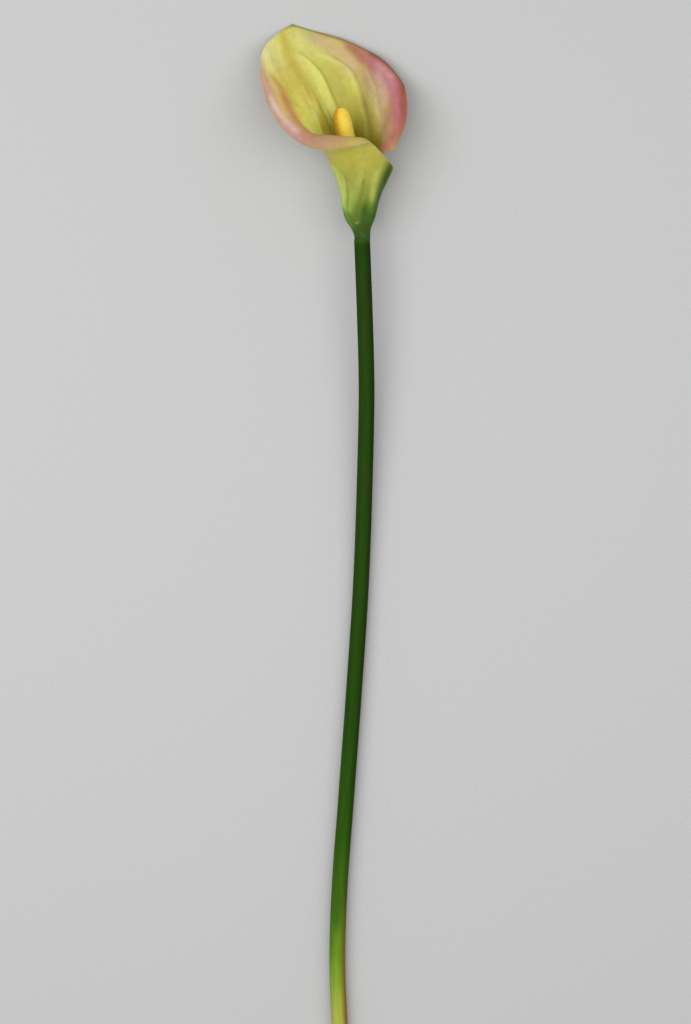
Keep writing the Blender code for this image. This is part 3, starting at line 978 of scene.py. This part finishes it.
def stemMaterial():
    look = Recipe("stem_skin", Specular_IOR_Level=0.04)
    down, right = look.mark("down"), look.mark("right")
    grain = look.mark("grain", "Vector")
    wander = look.noise(look.scaled(grain, (0.12, 0.12, 0.02)), 1.0, 2.0)
    at = look.sum(down, look.range(wander, 0.3, 0.7, -12.0, 12.0))
    share = look.node("ShaderNodeMapRange", {0: at, 1: 0.0, 2: stem["length"]})
    skin = look.ramp(share, stemPaint["skin"])
    # painted shade on the right side
    paintedShadeRight = look.product(look.range(right, 0.35, 1.0), 0.75)
    skin = look.mix(paintedShadeRight, skin, stemPaint["paintedShadeRight"], "MULTIPLY")
    skin = look.mix(look.range(down, *stemPaint["neckTo"]), skin, stemPaint["neck"])
    red = look.product(look.range(right, 0.2, 0.95), look.range(down, *stemPaint["redFrom"]))
    skin = look.mix(look.product(red, 0.7), skin, stemPaint["red"])
    fibre = look.noise(look.scaled(grain, (1.0, 1.0, 0.02)), 2.4, 5.0, 0.6)
    fibrous = look.range(fibre, 0.35, 0.75, 0.0, 0.4)
    skin = look.mix(fibrous, skin, stemPaint["fibre"], "SOFT_LIGHT")
    fleck = look.noise(look.scaled(grain, (1.0, 1.0, 0.4)), 1.6, 4.0, 0.7)
    skin = look.mix(look.range(fleck, 0.62, 0.8, 0.0, 0.3), skin, stemPaint["fleck"])

    cells = look.node("ShaderNodeTexVoronoi", {"Vector": look.place(), "Scale": 1500.0})
    pith = look.mix(look.range(cells, 0.15, 0.4), stemPaint["pithWall"], stemPaint["pithCell"])
    colour = look.mix(look.range(look.mark("across"), 0.9, 0.99), pith, skin)
    rough = look.range(fleck, 0.3, 0.7, 0.42, 0.56)
    return look.finish(colour, rough, look.bump(fibre, 0.0002, 0.4))


# the flower is put together where the frame holds it

def bloomPlace(sheet):
    # where the top of the stem lies in the frame
    low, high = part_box("spathe")
    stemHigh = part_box("stem")[1]
    pegLength = 7.0  # the frame's stem reaches this far up into the spathe
    x = (low.x + high.x) / 2 - (sheet[:, 0].min() + sheet[:, 0].max()) / 2 * mm
    y = stemHigh.y - pegLength * mm
    return Vector((x, y, -sheet[:, 2].min() * mm))


print("making the spathe")
spathePiece, spatheSolid = makeSpathe()
place = bloomPlace(spatheSolid)
print("making the spadix")
spadixPiece = makeSpadix()
print("making the stem")
stemPiece = makeStem(place.z / mm)
print("dressing the pieces")
for piece, node, slot, look in (
    (spathePiece, "spathe", "spathe_flesh", spatheMaterial()),
    (spadixPiece, "spadix", "spadix_grain", spadixMaterial()),
    (stemPiece, "stem", "stem_skin", stemMaterial()),
):
    piece.data.transform(Matrix.Translation(place))
    piece.data.materials.append(look)
    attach(piece, "root")
    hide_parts(node)


# floor, light and camera

studio = {
    "floorSize": 6.0,
    "floorColour": (0.71, 0.71, 0.71),
    "floorMottle": 0.02,
    "keyPower": 15.0,
    "fillPower": 8.2,
    "skyStrength": 0.43,
    "lampSize": (0.8, 1.4),
    "keyPlace": (-0.65, 0.15, 1.3),
    "fillPlace": (0.65, 0.15, 1.3),
    "lampAim": (0, 0.05, 0),
    "lens": 180.0,
    "sensor": 36.0,
    "shotHeight": 0.5632,  # how much of the surface the view takes in, top to bottom
    "aim": (-0.0091, -0.1499),  # from the top of the stem to the middle of the view
}


def makeFloor():
    size = studio["floorSize"] / 2
    corners = np.array([(-1, -1, 0), (1, -1, 0), (1, 1, 0), (-1, 1, 0)]) * size / mm
    floor = meshObject("paper_floor", corners, [(0, 1, 2, 3)])
    look = Recipe("paper", Roughness=0.9, Specular_IOR_Level=0.1)
    tooth = look.noise(look.place(), 900.0)
    paler = tuple(c + studio["floorMottle"] for c in studio["floorColour"])
    colour = look.mix(look.range(tooth, 0.3, 0.7), studio["floorColour"], paler)
    floor.data.materials.append(look.finish(colour, 0.9, look.bump(tooth, 0.0001, 0.3)))


def addLight(name, power, at):
    lamp = bpy.data.lights.new(name, "AREA")
    lamp.shape = "RECTANGLE"
    lamp.size, lamp.size_y = studio["lampSize"]
    lamp.energy = power
    light = bpy.data.objects.new(name, lamp)
    light.location = at
    light.rotation_mode = "QUATERNION"
    facing = Vector(studio["lampAim"]) - Vector(at)
    light.rotation_quaternion = facing.to_track_quat("-Z", "Y")
    bpy.context.scene.collection.objects.link(light)


def makeStudio():
    addLight("key", studio["keyPower"], studio["keyPlace"])
    addLight("fill", studio["fillPower"], studio["fillPlace"])
    world = bpy.data.worlds.new("sky")
    world.use_nodes = True
    sky = world.node_tree.nodes["Background"]
    sky.inputs[0].default_value = (1.0, 1.0, 1.0, 1)
    sky.inputs[1].default_value = studio["skyStrength"]
    bpy.context.scene.world = world
    bpy.context.scene.view_settings.view_transform = "Standard"

    camera = bpy.data.objects.new("camera", bpy.data.cameras.new("camera"))
    camera.data.lens = studio["lens"]
    camera.data.sensor_width = studio["sensor"]
    distance = studio["shotHeight"] * studio["lens"] / studio["sensor"]
    aimX, aimY = studio["aim"]
    camera.location = place + Vector((aimX, aimY, distance))
    bpy.context.scene.collection.objects.link(camera)
    bpy.context.scene.camera = camera


print("setting the floor, lights and camera")
makeFloor()
makeStudio()
